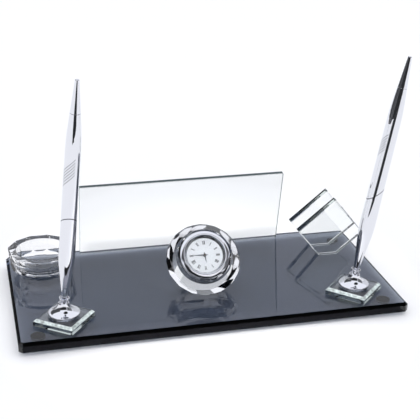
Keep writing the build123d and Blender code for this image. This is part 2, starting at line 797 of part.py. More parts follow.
def build_pen(side, stand_x, heading, tilt, spin):
    """Ball socket and pen of one side, on a frame that starts in the ball's centre."""
    ball_centre = (stand_x, front_edge + stand_inset_front, glass_foot + pad_thickness + ball_height)
    pen = Plane(Pos(*ball_centre) * Rot(0, 0, heading) * Rot(0, tilt, 0) * Rot(0, 0, spin - heading))
    turn_axis = own_axis(pen)

    # Pen socket: ball, stem and open cup in one piece, bored for the pen's nose
    bore_radius = nose_shoulder_radius + nib_clearance
    stem_foot = sqrt(ball_radius**2 - socket_stem_radius**2)
    with BuildPart() as socket:
        with BuildSketch(half_profile(pen)):
            with BuildLine():
                ThreePointArc((0, -ball_radius), (ball_radius, 0), (socket_stem_radius, stem_foot))
                Polyline(
                    (socket_stem_radius, stem_foot),
                    (socket_stem_radius, socket_stem_top),
                    (socket_mouth_radius, socket_mouth_top - socket_rim_height),
                    (socket_mouth_radius, socket_mouth_top - socket_rim_edge),
                    (socket_mouth_radius - socket_rim_edge, socket_mouth_top),
                    (socket_mouth_bore, socket_mouth_top),
                    (socket_throat_radius, socket_throat_height),
                    (bore_radius, nose_shoulder),
                    (bore_radius, socket_bore_base + bore_radius),
                    (0, socket_bore_base),
                    (0, -ball_radius),
                )
            make_face()
        revolve(axis=turn_axis)
    socket.part.label = side + "_pen_socket"
    export_step(socket.part, "parts/" + side + "_pen_socket.step")

    # The two barrels part on a slanted plane that passes through the axis at the middle seam
    seam_plane = Plane(pen.offset(middle_seam).location * Rot(0, -seam_slope, 0))
    seam_reach = barrel_radius * tan(radians(seam_slope)) + seam_overrun

    # Lower barrel: slender nose cone that swells to the full barrel
    tip_bore = refill_tip_radius + slide_clearance
    refill_bore = refill_radius + refill_clearance
    tip_bore_end = refill_tip_start + refill_needle_length
    with BuildPart() as lower_barrel:
        with BuildSketch(half_profile(pen)):
            with BuildLine():
                Polyline(
                    (tip_bore, nose_start),
                    (nose_radius, nose_start),
                    (nose_shoulder_radius, nose_shoulder),
                    (cone_start_radius, socket_mouth_top),
                    (cone_end_radius, cone_end),
                )
                Spline(
                    (cone_end_radius, cone_end),
                    (barrel_radius, barrel_full),
                    tangents=(
                        (cone_end_radius - cone_start_radius, cone_end - socket_mouth_top),
                        (0, 1),
                    ),
                )
                Polyline(
                    (barrel_radius, barrel_full),
                    (middle_radius, middle_seam),
                    (middle_radius, middle_seam + seam_reach),
                    (lower_bore_radius, middle_seam + seam_reach),
                    (lower_bore_radius, lower_bore_start),
                    (refill_upper_bore, lower_bore_start),
                    (refill_upper_bore, lower_bore_start / 2),
                    (refill_bore, lower_bore_start / 2 - refill_bore),
                    (refill_bore, tip_bore_end + refill_bore),
                    (tip_bore, tip_bore_end),
                    (tip_bore, nose_start),
                )
            make_face()
        revolve(axis=turn_axis)
        split(bisect_by=seam_plane.offset(-seam_gap), keep=Keep.BOTTOM)
    lower_barrel.part.label = side + "_lower_barrel"
    export_step(lower_barrel.part, "parts/" + side + "_lower_barrel.step")

    # Refill: needle tip in front, ink tube behind it
    with BuildPart() as refill_tip:
        with BuildSketch(half_profile(pen)):
            with BuildLine():
                Polyline(
                    (0, refill_tip_start),
                    (refill_tip_radius / 2, refill_tip_start),
                    (refill_tip_radius, refill_tip_start + refill_ball_length),
                    (refill_tip_radius, tip_bore_end),
                    (refill_radius, tip_bore_end + refill_bore),
                    (refill_radius, refill_tip_end),
                    (0, refill_tip_end),
                    close=True,
                )
            make_face()
        revolve(axis=turn_axis)
    refill_tip.part.label = side + "_refill_tip"
    export_step(refill_tip.part, "parts/" + side + "_refill_tip.step")

    with BuildPart() as refill_tube:
        with BuildSketch(pen.offset(refill_tip_end)):
            Circle(refill_radius)
        extrude(amount=refill_top - refill_tip_end)
    refill_tube.part.label = side + "_refill_tube"
    export_step(refill_tube.part, "parts/" + side + "_refill_tube.step")

    # Coupling sleeve: pressed into the upper barrel and pushed into the lower one
    sleeve_radius = lower_bore_radius - slide_clearance
    sleeve_web_base = refill_top + refill_clearance
    with BuildPart() as sleeve:
        with BuildSketch(half_profile(pen)):
            with BuildLine():
                Polyline(
                    (refill_radius + 2 * refill_clearance, sleeve_start),
                    (sleeve_radius, sleeve_start),
                    (sleeve_radius, sleeve_end),
                    (sleeve_bore_radius, sleeve_end),
                    (sleeve_bore_radius, sleeve_web_base + sleeve_web),
                    (0, sleeve_web_base + sleeve_web),
                    (0, sleeve_web_base),
                    (refill_radius + 2 * refill_clearance, sleeve_web_base),
                    close=True,
                )
            make_face()
        revolve(axis=turn_axis)
    sleeve.part.label = side + "_coupling_sleeve"
    export_step(sleeve.part, "parts/" + side + "_coupling_sleeve.step")

    # Upper barrel: nearly straight, then drawn in to the tail
    spigot_base = tail_seam - tail_spigot_length
    with BuildPart() as upper_barrel:
        with BuildSketch(half_profile(pen)):
            with BuildLine():
                Polyline(
                    (sleeve_radius, middle_seam - seam_reach),
                    (middle_radius, middle_seam - seam_reach),
                    (middle_radius, middle_seam),
                    (upper_straight_radius, upper_straight_end),
                )
                Spline(
                    (upper_straight_radius, upper_straight_end),
                    (tail_radius, tail_seam),
                    tangents=(
                        (upper_straight_radius - middle_radius, upper_straight_end - middle_seam),
                        (pen_top_radius - tail_radius, pen_top - tail_seam),
                    ),
                )
                Polyline(
                    (tail_radius, tail_seam),
                    (tail_spigot_radius, tail_seam),
                    (tail_spigot_radius, spigot_base),
                    (sleeve_bore_radius, spigot_base - tail_spigot_shoulder),
                    (sleeve_bore_radius, sleeve_end),
                    (sleeve_radius, sleeve_end),
                    (sleeve_radius, middle_seam - seam_reach),
                )
            make_face()
        revolve(axis=turn_axis)
        split(bisect_by=seam_plane, keep=Keep.TOP)
    upper_barrel.part.label = side + "_upper_barrel"
    export_step(upper_barrel.part, "parts/" + side + "_upper_barrel.step")

    # Tail cone: plugs the upper barrel, with a fine groove at the joint
    with BuildPart() as tail_cone:
        with BuildSketch(half_profile(pen)):
            with BuildLine():
                Polyline(
                    (0, pen_top),
                    (0, spigot_base),
                    (tail_spigot_radius, spigot_base),
                    (tail_spigot_radius, tail_seam),
                    (tail_radius - tail_groove, tail_seam),
                    (tail_radius - tail_groove, tail_seam + tail_groove),
                    (tail_radius, tail_seam + tail_groove),
                    (pen_top_radius, pen_top),
                    close=True,
                )
            make_face()
        revolve(axis=turn_axis)
        fillet(tail_cone.edges().group_by(turn_axis)[-1], pen_top_rounding)
    tail_cone.part.label = side + "_tail_cone"
    export_step(tail_cone.part, "parts/" + side + "_tail_cone.step")


left_stand_x = left_edge + stand_inset_side
right_stand_x = right_edge - stand_inset_side
build_pen_stand("left", left_stand_x, left_pad_turn)
build_pen_stand("right", right_stand_x, right_pad_turn)
build_pen("left", left_stand_x, left_pen_heading, left_pen_tilt, left_pen_spin)
build_pen("right", right_stand_x, right_pen_heading, right_pen_tilt, right_pen_spin)
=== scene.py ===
import json
import math
from functools import partial

import bmesh
import bpy
from mathutils import Matrix, Vector


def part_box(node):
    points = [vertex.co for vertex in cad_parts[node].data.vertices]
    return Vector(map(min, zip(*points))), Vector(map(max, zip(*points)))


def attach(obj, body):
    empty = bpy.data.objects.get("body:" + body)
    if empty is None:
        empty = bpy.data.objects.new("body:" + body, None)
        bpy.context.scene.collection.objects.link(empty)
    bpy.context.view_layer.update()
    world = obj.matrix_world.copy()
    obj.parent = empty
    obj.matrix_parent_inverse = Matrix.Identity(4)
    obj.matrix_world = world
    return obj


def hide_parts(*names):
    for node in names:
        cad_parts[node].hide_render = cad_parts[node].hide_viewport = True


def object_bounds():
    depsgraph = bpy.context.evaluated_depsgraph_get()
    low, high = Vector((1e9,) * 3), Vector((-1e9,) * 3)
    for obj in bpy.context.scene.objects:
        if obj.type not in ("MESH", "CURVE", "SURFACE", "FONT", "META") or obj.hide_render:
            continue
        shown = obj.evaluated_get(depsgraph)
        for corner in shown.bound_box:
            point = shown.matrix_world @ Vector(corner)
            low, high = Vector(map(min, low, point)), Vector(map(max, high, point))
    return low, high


# Desk stand of smoked glass with two chromed pens, a clear nameplate, a cut crystal clock, a glass card
# holder and a cut crystal dish. Metres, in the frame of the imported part: X right, Y back, Z up.

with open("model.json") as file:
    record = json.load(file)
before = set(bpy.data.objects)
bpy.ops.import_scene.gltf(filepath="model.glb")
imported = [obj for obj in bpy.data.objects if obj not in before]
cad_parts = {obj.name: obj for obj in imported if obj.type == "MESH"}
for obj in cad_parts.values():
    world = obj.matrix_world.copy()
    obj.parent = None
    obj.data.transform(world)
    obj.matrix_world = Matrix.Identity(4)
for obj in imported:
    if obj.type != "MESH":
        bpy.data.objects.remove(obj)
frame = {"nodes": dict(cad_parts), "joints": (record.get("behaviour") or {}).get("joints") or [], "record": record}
cad_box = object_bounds()
nodes = frame["nodes"]
joints = {joint["name"]: joint for joint in frame["joints"]}

MM = 0.001

# The photo's front: the level way from the stand to the camera, and the way to the camera's right
front_way = Vector((-0.25, -0.968, 0.0))
side_way = Vector((0.968, -0.25, 0.0))


# Helpers for nodes and colours


def colour(hex_code):
    """Linear RGBA of an sRGB hex colour such as '2F3A35'."""
    channels = []
    for start in (0, 2, 4):
        value = int(hex_code[start : start + 2], 16) / 255
        if value <= 0.04045:
            channels.append(value / 12.92)
        else:
            channels.append(((value + 0.055) / 1.055) ** 2.4)
    return (*channels, 1.0)


WHITE = colour("FFFFFF")


def add_node(tree, kind, inputs=None, **settings):
    """Adds a shader node with its settings. Each input is a value, or an output to link from."""
    node = tree.nodes.new(kind)
    for name, value in settings.items():
        setattr(node, name, value)
    for name, value in (inputs or {}).items():
        if isinstance(value, bpy.types.NodeSocket):
            tree.links.new(value, node.inputs[name])
        else:
            node.inputs[name].default_value = value
    return node


def new_material(name):
    """Empty node material, with its node tree, its output node and the position on the piece."""
    material = bpy.data.materials.new(name)
    material.use_nodes = True
    tree = material.node_tree
    tree.nodes.clear()
    output = add_node(tree, "ShaderNodeOutputMaterial")
    place = add_node(tree, "ShaderNodeTexCoord").outputs["Object"]
    return material, tree, output, place


# Materials


# How much of a fine-ground face, and of a bevel painted pale as a highlight, scatters light. The rest stays clear.
GROUND_AND_PAINTED_COVER = 0.85


def polishing_wave(tree, place, wave_size):
    """Normal with the faint wave left by polishing, which keeps reflections from being dead straight."""
    wave = add_node(
        tree, "ShaderNodeTexNoise", {"Vector": place, "Scale": 1 / wave_size, "Detail": 1.0}
    )
    bump = add_node(
        tree,
        "ShaderNodeBump",
        {"Height": wave.outputs["Fac"], "Strength": 0.02, "Distance": 0.1 * MM},
    )
    return bump.outputs["Normal"]


def ground_edges_and_top_shade(tree, place, sheet_normal, below, tone, painted_top_shade=None):
    """Cover and tone of a glass sheet's fine-ground edges below a height. The top edge, where light comes up the
    whole sheet, can have a tone of its own: painted shade."""
    out = add_node(tree, "ShaderNodeTexCoord").outputs["Normal"]
    square = add_node(
        tree, "ShaderNodeVectorMath", {0: out, 1: sheet_normal}, operation="DOT_PRODUCT"
    ).outputs["Value"]
    edge = add_node(tree, "ShaderNodeMath", {0: square, 1: 0.0, 2: 0.5}, operation="COMPARE").outputs[0]
    height = add_node(tree, "ShaderNodeSeparateXYZ", {"Vector": place}).outputs["Z"]
    low = add_node(tree, "ShaderNodeMath", {0: height, 1: below}, operation="LESS_THAN").outputs[0]
    low_edge = add_node(tree, "ShaderNodeMath", {0: edge, 1: low}, operation="MULTIPLY").outputs[0]
    cover = add_node(tree, "ShaderNodeMath", {0: low_edge, 1: GROUND_AND_PAINTED_COVER}, operation="MULTIPLY").outputs[0]
    if painted_top_shade is None:
        return cover, colour(tone)
    # Painted shade: edges that face up take the darker top tone
    rise = add_node(tree, "ShaderNodeSeparateXYZ", {"Vector": out}).outputs["Z"]
    upward = add_node(tree, "ShaderNodeMath", {0: rise}, operation="ABSOLUTE").outputs[0]
    tones = {0: upward, 6: colour(tone), 7: colour(painted_top_shade)}
    return cover, add_node(tree, "ShaderNodeMix", tones, data_type="RGBA").outputs[2]


def painted_highlight_bevels(tree, place, tone):
    """Cover and tone of a glass block's 45 degree bevels, painted pale like ground glass as a painted highlight
    for the light the bevels catch. The pale is uneven in patches, drawn 2.5 mm across, coarser than real grinding,
    so that they show."""
    out = add_node(tree, "ShaderNodeTexCoord").outputs["Normal"]
    rise = add_node(tree, "ShaderNodeSeparateXYZ", {"Vector": out}).outputs["Z"]
    bevel = add_node(
        tree, "ShaderNodeMath", {0: rise, 1: math.sqrt(0.5), 2: 0.1}, operation="COMPARE"
    ).outputs[0]
    grain = add_node(tree, "ShaderNodeTexNoise", {"Vector": place, "Scale": 1 / (2.5 * MM), "Detail": 3.0})
    patches = {"Value": grain.outputs["Fac"], "From Min": 0.35, "From Max": 0.65}
    uneven = add_node(
        tree, "ShaderNodeMapRange", {**patches, "To Min": 0.35, "To Max": GROUND_AND_PAINTED_COVER}
    ).outputs["Result"]
    cover = add_node(tree, "ShaderNodeMath", {0: uneven, 1: bevel}, operation="MULTIPLY").outputs[0]
    return cover, colour(tone)


def glass(name, ior, tint, density, wave_size=None, ground_and_painted_faces=None, glued_below=None):
    """Polished glass: clear at a glance across, darker and tinted where much of it is looked through, so that its
    edges show dark. Its fine-ground faces, if any, are paler and catch the light, and the same mix lays painted
    highlights and painted shade on the faces given them. Below the height given, its face is wetted by clear glue,
    which lets light straight on into the base."""
    material, tree, output, place = new_material(name)
    polish = {"Base Color": WHITE, "Roughness": 0.0, "IOR": ior, "Transmission Weight": 1.0}
    if wave_size:
        polish["Normal"] = polishing_wave(tree, place, wave_size)
    face = add_node(tree, "ShaderNodeBsdfPrincipled", polish).outputs["BSDF"]
    if ground_and_painted_faces:
        cover, tone = ground_and_painted_faces(tree, place)
        ground_and_painted_finish = {"Base Color": tone, "Roughness": 0.3, "IOR": ior}
        ground_and_painted_face = add_node(tree, "ShaderNodeBsdfPrincipled", ground_and_painted_finish).outputs["BSDF"]
        face = add_node(tree, "ShaderNodeMixShader", {0: cover, 1: face, 2: ground_and_painted_face}).outputs[0]
    if glued_below:
        height = add_node(tree, "ShaderNodeSeparateXYZ", {"Vector": place}).outputs["Z"]
        wetted = add_node(
            tree, "ShaderNodeMath", {0: height, 1: glued_below}, operation="LESS_THAN"
        ).outputs[0]
        glue = add_node(tree, "ShaderNodeBsdfTransparent", {"Color": colour("FCFCFA")}).outputs["BSDF"]
        face = add_node(tree, "ShaderNodeMixShader", {0: wetted, 1: face, 2: glue}).outputs[0]
    tree.links.new(face, output.inputs["Surface"])
    depth = add_node(tree, "ShaderNodeVolumeAbsorption", {"Color": colour(tint), "Density": density})
    tree.links.new(depth.outputs["Volume"], output.inputs["Volume"])
    return material


def thin_lens(name):
    """Thin flat mineral glass: light goes straight through, and the faces add a weak mirror image."""
    material, tree, output, place = new_material(name)
    through = add_node(tree, "ShaderNodeBsdfTransparent", {"Color": colour("FCFDFD")}).outputs["BSDF"]
    wave = polishing_wave(tree, place, 30 * MM)
    mirror = add_node(
        tree,
        "ShaderNodeBsdfPrincipled",
        {"Base Color": WHITE, "Metallic": 1.0, "Roughness": 0.0, "Normal": wave},
    ).outputs["BSDF"]
    facing = add_node(tree, "ShaderNodeFresnel", {"IOR": 1.5}).outputs["Fac"]
    both = add_node(tree, "ShaderNodeMixShader", {0: facing, 1: through, 2: mirror})
    tree.links.new(both.outputs["Shader"], output.inputs["Surface"])
    return material


def chrome_plate(name, barrel=None):
    """Bright nickel-chrome plate on turned brass: a slightly cool mirror, with a trace of haze where it has
    been handled. A pen's upper barrel has dark lines cut in it, and a dark joint at its lower end."""
    material, tree, output, place = new_material(name)
    haze = add_node(tree, "ShaderNodeTexNoise", {"Vector": place, "Scale": 1 / (9 * MM), "Detail": 3.0})
    roughness = add_node(
        tree, "ShaderNodeMapRange", {"Value": haze.outputs["Fac"], "To Min": 0.01, "To Max": 0.035}
    )
    tone = colour("E6E7EB")
    if barrel:
        groove = barrel_lines(tree, place, **barrel)
        tone = add_node(
            tree, "ShaderNodeMix", {0: groove, 6: tone, 7: colour("4A4C52")}, data_type="RGBA"
        ).outputs[2]
    shader = add_node(
        tree,
        "ShaderNodeBsdfPrincipled",
        {"Base Color": tone, "Metallic": 1.0, "Roughness": roughness.outputs["Result"]},
    )
    tree.links.new(shader.outputs["BSDF"], output.inputs["Surface"])
    return material


# Lines cut in the upper barrels, drawn 0.5 mm wide, coarser than real ones, so that they show. The climb
# is how far a line rises along the pen for each millimetre round the barrel.
LINE_COUNT = 6
LINE_PITCH = 2.2 * MM
LINE_WIDTH_SHARE = 0.22
LINE_CLIMB = 1.07
BARREL_RADIUS = 5.3 * MM

# Dark line at the slanted joint of the barrels, from below the joint to above it, also drawn coarser
JOINT_LINE = (-0.25 * MM, 0.45 * MM)


def barrel_lines(tree, place, foot, along, facing, first, turns, joint, joint_normal):
    """Slanting cut lines round a barrel and the dark joint at its lower end: 1 in a line and 0 beside it.
    A point's station along the pen is measured from the foot, and its turn about the pen from the front."""
    across = along.cross(facing).normalized()
    measures = []
    for origin, direction in ((foot, along), (foot, facing), (foot, across), (joint, joint_normal)):
        offset = add_node(tree, "ShaderNodeVectorMath", {0: place, 1: origin}, operation="SUBTRACT")
        both = {0: offset.outputs["Vector"], 1: direction}
        measure = add_node(tree, "ShaderNodeVectorMath", both, operation="DOT_PRODUCT")
        measures.append(measure.outputs["Value"])
    station, front, side, above_joint = measures
    turn = add_node(tree, "ShaderNodeMath", {0: side, 1: front}, operation="ARCTAN2").outputs[0]
    unwound = add_node(
        tree,
        "ShaderNodeMath",
        {0: turn, 1: -BARREL_RADIUS * LINE_CLIMB, 2: station},
        operation="MULTIPLY_ADD",
    ).outputs[0]
    count = add_node(
        tree,
        "ShaderNodeMapRange",
        {"Value": unwound, "From Min": first, "From Max": first + LINE_PITCH},
        clamp=False,
    ).outputs["Result"]
    part_way = add_node(tree, "ShaderNodeMath", {0: count}, operation="FRACT").outputs[0]
    shown = []
    for value, low, high in (
        (part_way, 0.5 - LINE_WIDTH_SHARE / 2, 0.5 + LINE_WIDTH_SHARE / 2),
        (count, 0.0, LINE_COUNT),
        (turn, *turns),
        (above_joint, *JOINT_LINE),
    ):
        limits = {0: value, 1: (low + high) / 2, 2: (high - low) / 2}
        shown.append(add_node(tree, "ShaderNodeMath", limits, operation="COMPARE").outputs[0])
    in_line, in_group, in_turn, in_joint = shown
    grouped = add_node(tree, "ShaderNodeMath", {0: in_line, 1: in_group}, operation="MULTIPLY").outputs[0]
    lines = add_node(tree, "ShaderNodeMath", {0: grouped, 1: in_turn}, operation="MULTIPLY").outputs[0]
    return add_node(tree, "ShaderNodeMath", {0: lines, 1: in_joint}, operation="MAXIMUM").outputs[0]


def satin_metal(name, tone, low_gloss, high_gloss, grain):
    """Turned, drawn or brushed metal: its grain shows as an uneven gloss, and is drawn coarser than a real
    one, so that it shows."""
    material, tree, output, place = new_material(name)
    noise = add_node(tree, "ShaderNodeTexNoise", {"Vector": place, "Scale": 1 / grain, "Detail": 4.0})
    roughness = add_node(
        tree,
        "ShaderNodeMapRange",
        {"Value": noise.outputs["Fac"], "To Min": low_gloss, "To Max": high_gloss},
    )
    shader = add_node(
        tree,
        "ShaderNodeBsdfPrincipled",
        {"Base Color": colour(tone), "Metallic": 1.0, "Roughness": roughness.outputs["Result"]},
    )
    tree.links.new(shader.outputs["BSDF"], output.inputs["Surface"])
    return material


def moulded_or_painted(name, light_tone, dark_tone, roughness, grain):
    """Moulded plastic, print or enamel: two near tones and a fine grain that softens the highlights. The
    grain is drawn coarser than a real one, so that it shows."""
    material, tree, output, place = new_material(name)
    noise = add_node(tree, "ShaderNodeTexNoise", {"Vector": place, "Scale": 1 / grain, "Detail": 3.0})
    tone = add_node(
        tree,
        "ShaderNodeMix",
        {0: noise.outputs["Fac"], 6: colour(light_tone), 7: colour(dark_tone)},
        data_type="RGBA",
    )
    bump = add_node(
        tree,
        "ShaderNodeBump",
        {"Height": noise.outputs["Fac"], "Strength": 0.1, "Distance": 0.02 * MM},
    )
    shader = add_node(
        tree,
        "ShaderNodeBsdfPrincipled",
        {
            "Base Color": tone.outputs[2],
            "Roughness": roughness,
            "IOR": 1.5,
            "Normal": bump.outputs["Normal"],
        },
    )
    tree.links.new(shader.outputs["BSDF"], output.inputs["Surface"])
    return material


# Float glass of the sheets and pads, and the size of the faint wave in the sheets' faces
FLOAT_GLASS_IOR = 1.52
CLEAR_FLOAT = {"ior": FLOAT_GLASS_IOR, "tint": "5FAF90"}
SHEET_WAVE = 40 * MM

# The faces that are glued to the base lie below this height
glue_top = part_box("nameplate")[0][2] + 0.02 * MM

# Smoked float glass, polished: a dark blue-grey slab, nearly black at its edges
smoked_glass = glass(
    "smoked_float_glass", ior=FLOAT_GLASS_IOR, tint="8096B3", density=145.0, wave_size=60 * MM
)

# Clear float glass, its lower edges ground: they show pale through the card plates
card_normal = max(nodes["card_plate_front"].data.polygons, key=lambda face: face.area).normal.copy()
card_edge_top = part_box("card_plate_front")[0][2] + 13 * MM
card_glass = glass(
    "ground_edge_card_glass",
    **CLEAR_FLOAT,
    density=6.0,
    wave_size=SHEET_WAVE,
    ground_and_painted_faces=partial(ground_edges_and_top_shade, sheet_normal=card_normal, below=card_edge_top, tone="FAFCFB"),
    glued_below=glue_top,
)

# Clear float glass with ground edges, pale green at the nameplate's ends; the dark green along its top is painted
# shade
nameplate_glass = glass(
    "ground_edge_shaded_top_nameplate_glass",
    **CLEAR_FLOAT,
    density=9.0,
    wave_size=SHEET_WAVE,
    ground_and_painted_faces=partial(
        ground_edges_and_top_shade,
        sheet_normal=(0.0, -1.0, 0.0),
        below=cad_box[1][2],
        tone="8FABA3",
        # painted shade along the top edge
        painted_top_shade="1A3133",
    ),
    glued_below=glue_top,
)

# Clear float glass whose 45 degree bevels are painted pale like ground glass: a painted highlight, a pale frame
# round the clear top of each pad
pad_glass = glass(
    "painted_highlight_bevel_float_glass", **CLEAR_FLOAT, density=9.0, ground_and_painted_faces=partial(painted_highlight_bevels, tone="E6F1EC")
)

# Optical crystal, cut and polished: colourless, and its facets break the light into bright and dark
cut_crystal = glass(
    "cut_optical_crystal", ior=1.54, tint="F4F6F7", density=2.0, wave_size=30 * MM, glued_below=glue_top
)

# Moulded clear rubber: soft, and slightly milky
clear_rubber = glass("clear_soft_rubber", ior=1.42, tint="C9CCCC", density=60.0, wave_size=2 * MM)

# Polished mineral glass and chrome plate: one hardly shows, and the other is a bright mirror
lens_glass = thin_lens("mineral_lens_glass")
chrome = chrome_plate("polished_chrome_plate")

# Stainless steel, steel tube, turned brass and turned aluminium: grey, light grey, yellow and near white
stainless = satin_metal("satin_stainless_steel", "B9BABC", 0.25, 0.4, 0.4 * MM)
tube_steel = satin_metal("drawn_steel_tube", "BFC1C4", 0.2, 0.3, 0.6 * MM)
turned_brass = satin_metal("turned_brass", "C9A45C", 0.2, 0.35, 0.5 * MM)
bright_aluminium = satin_metal("bright_turned_aluminium", "E4E5E8", 0.12, 0.2, 0.5 * MM)

# Moulded nylon and ABS: off-white and black with a soft sheen. Lacquered hands are grey, so that they read
# thin, the enamelled dial is bright white, and the printed ink is nearly black and matt.
nylon = moulded_or_painted("moulded_nylon", "E9E8E0", "DFDDD2", 0.45, 0.8 * MM)
black_abs = moulded_or_painted("moulded_black_abs", "1B1B1D", "222224", 0.4, 0.5 * MM)
hand_lacquer = moulded_or_painted("grey_hand_lacquer", "707277", "7A7C81", 0.3, 0.4 * MM)
dial_enamel = moulded_or_painted("white_dial_enamel", "FAFAFC", "F4F4F7", 0.35, 1.5 * MM)
dial_ink = moulded_or_painted("black_dial_ink", "17181C", "232429", 0.5, 0.3 * MM)

for_slot = {
    "smoked_glass": smoked_glass,
    "crystal": cut_crystal,
    "lens_glass": lens_glass,
    "clear_rubber": clear_rubber,
    "clear_gasket": clear_rubber,
    "polished_chrome": chrome,
    "stainless_steel": stainless,
    "steel_tube": tube_steel,
    "bright_aluminium": bright_aluminium,
    "brass": turned_brass,
    "nylon": nylon,
    "black_plastic": black_abs,
    "black_hands": hand_lacquer,
    "white_dial": dial_enamel,
}
for_node = {
    "nameplate": nameplate_glass,
    "card_plate_front": card_glass,
    "card_plate_rear": card_glass,
    "left_pen_pad": pad_glass,
    "right_pen_pad": pad_glass,
}

# Upper barrels: how far from the pen's foot the first line is cut, where round the pen the lines start and
# end, in radians from its front, and the normal of the slanted joint with the lower barrel. The joint
# crosses the pen's axis at its own distance from the foot.
JOINT_STATION = 65.8 * MM
for pen, first_line, turns, joint_normal in (
    ("left", 98.9 * MM, (-1.5, 0.5), (0.1162, 0.5886, 0.8000)),
    ("right", 101.2 * MM, (-1.6, -0.45), (-0.5349, 0.1280, 0.8352)),
):
    pen_foot = Vector(joints[pen + "_socket_tilt"]["pos_m"])
    pen_along = Vector(joints[pen + "_pen_lift"]["axis"]).normalized()
    pen_front = (front_way - front_way.dot(pen_along) * pen_along).normalized()
    barrel_marks = {
        "foot": pen_foot,
        "along": pen_along,
        "facing": pen_front,
        "first": first_line,
        "turns": turns,
        "joint": pen_foot + pen_along * JOINT_STATION,
        "joint_normal": joint_normal,
    }
    for_node[pen + "_upper_barrel"] = chrome_plate(pen + "_engraved_chrome_plate", barrel_marks)

for subpart in frame["record"]["subparts"]:
    node = subpart["node"]
    nodes[node].data.materials[0] = for_node.get(node) or for_slot[subpart["material_slot"]]


# Dial numerals: Roman figures printed round the dial with their feet to the centre. The sizes are in
# millimetres: the radius is at mid-height, and the dial lies below the crystal's table by its drop.

NUMERAL_HEIGHT = 2.8
NUMERAL_RADIUS = 9.75
INK_HEIGHT = 0.04
DIAL_DROP = 1.2

# Each letter's advance in millimetres and its outline, anticlockwise: millimetres across from its middle,
# and up in shares of its height
LETTER_SHAPES = {
    "I": (
        0.54,
        (
            (-0.24, 0.0), (0.24, 0.0), (0.24, 0.05), (0.17, 0.05), (0.17, 0.95), (0.24, 0.95),
            (0.24, 1.0), (-0.24, 1.0), (-0.24, 0.95), (-0.17, 0.95), (-0.17, 0.05), (-0.24, 0.05),
        ),
    ),
    "V": (
        1.06,
        (
            (-0.52, 1.0), (-0.52, 0.95), (-0.45, 0.95), (-0.08, 0.0), (0.06, 0.0), (0.40, 0.95),
            (0.50, 0.95), (0.50, 1.0), (0.20, 1.0), (0.20, 0.95), (0.28, 0.95), (0.06, 0.27),
            (-0.12, 0.95), (-0.03, 0.95), (-0.03, 1.0),
        ),
    ),
    "X": (
        1.08,
        (
            (-0.50, 0.0), (-0.34, 0.0), (-0.07, 0.32), (0.14, 0.0), (0.50, 0.0), (0.14, 0.57),
            (0.50, 1.0), (0.34, 1.0), (0.07, 0.68), (-0.14, 1.0), (-0.50, 1.0), (-0.14, 0.43),
        ),
    ),
}
HOURS = ("XII", "I", "II", "III", "IIII", "V", "VI", "VII", "VIII", "IX", "X", "XI")

# The dial's directions, and the middles of the crystal's table and of the dial's face
dial_normal = Vector(joints["clock_slide"]["axis"]).normalized()
dial_right = Vector((-dial_normal.y, dial_normal.x, 0)).normalized()
dial_up = dial_normal.cross(dial_right)
table_centre = Vector(joints["minute_turn"]["pos_m"])
dial_face = table_centre - dial_normal * DIAL_DROP * MM


def add_object(name, mesh, material):
    """Object of a mesh, with its material, in the scene."""
    mesh.materials.append(material)
    piece = bpy.data.objects.new(name, mesh)
    bpy.context.scene.collection.objects.link(piece)
    return piece


def raised_numerals(name):
    """Mesh of the dial's printed numerals, as thin raised ink."""
    corners = []
    faces = []
    for hour, word in enumerate(HOURS):
        turn = math.radians(30 * hour)
        outward = dial_up * math.cos(turn) + dial_right * math.sin(turn)
        clockwise = dial_right * math.cos(turn) - dial_up * math.sin(turn)
        letter_start = -sum(LETTER_SHAPES[letter][0] for letter in word) / 2
        for letter in word:
            advance, outline = LETTER_SHAPES[letter]
            count = len(outline)
            first = len(corners)
            for height in (0, INK_HEIGHT):
                for x, y in outline:
                    along = letter_start + advance / 2 + x
                    out = NUMERAL_RADIUS + (y - 0.5) * NUMERAL_HEIGHT
                    offset = clockwise * along + outward * out + dial_normal * height
                    corners.append(dial_face + offset * MM)
            faces.append(range(first + count - 1, first - 1, -1))
            faces.append(range(first + count, first + 2 * count))
            for corner in range(count):
                here = first + corner
                there = first + (corner + 1) % count
                faces.append((here, there, there + count, here + count))
            letter_start += advance
    mesh = bpy.data.meshes.new(name)
    mesh.from_pydata(corners, [], faces)
    return mesh


numerals = add_object("dial_numerals", raised_numerals("dial_numerals"), dial_ink)
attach(numerals, "clock_insert")


# Bezel: its front is turned to a flat cone, whose lower part mirrors the dark front and the rest the tent

BEZEL_STEPS = 160
BEZEL_SHARP_ANGLE = math.radians(40)
BEZEL_PROFILE = (  # radius and height above the crystal's table, in millimetres
    (17.5, 0.05), (18.15, 0.05), (18.2, 0.4), (18.1, 0.72), (15.95, 1.68), (15.8, 1.92), (15.6, 1.98),
    (15.4, 1.9), (15.0, 1.82), (15.0, 1.72), (15.5, 1.72), (15.5, -1.0), (15.8, -1.0),
    (15.8, -0.38), (17.5, -0.38),
)


def turned_ring(name, centre, profile, steps, sharp_angle):
    """Mesh of a ring turned about the dial's normal from a closed profile."""
    corners = []
    faces = []
    rows = len(profile)
    for step in range(steps):
        turn = 2 * math.pi * step / steps
        outward = dial_up * math.cos(turn) + dial_right * math.sin(turn)
        corners += [centre + outward * radius * MM + dial_normal * height * MM for radius, height in profile]
        here = step * rows
        there = (step + 1) % steps * rows
        for row in range(rows):
            next_row = (row + 1) % rows
            faces.append((here + row, here + next_row, there + next_row, there + row))
    mesh = bpy.data.meshes.new(name)
    mesh.from_pydata(corners, [], faces)
    turned = bmesh.new()
    turned.from_mesh(mesh)
    bmesh.ops.recalc_face_normals(turned, faces=list(turned.faces))
    for face in turned.faces:
        face.smooth = True
    for edge in turned.edges:
        edge.smooth = edge.calc_face_angle() < sharp_angle
    turned.to_mesh(mesh)
    turned.free()
    return mesh


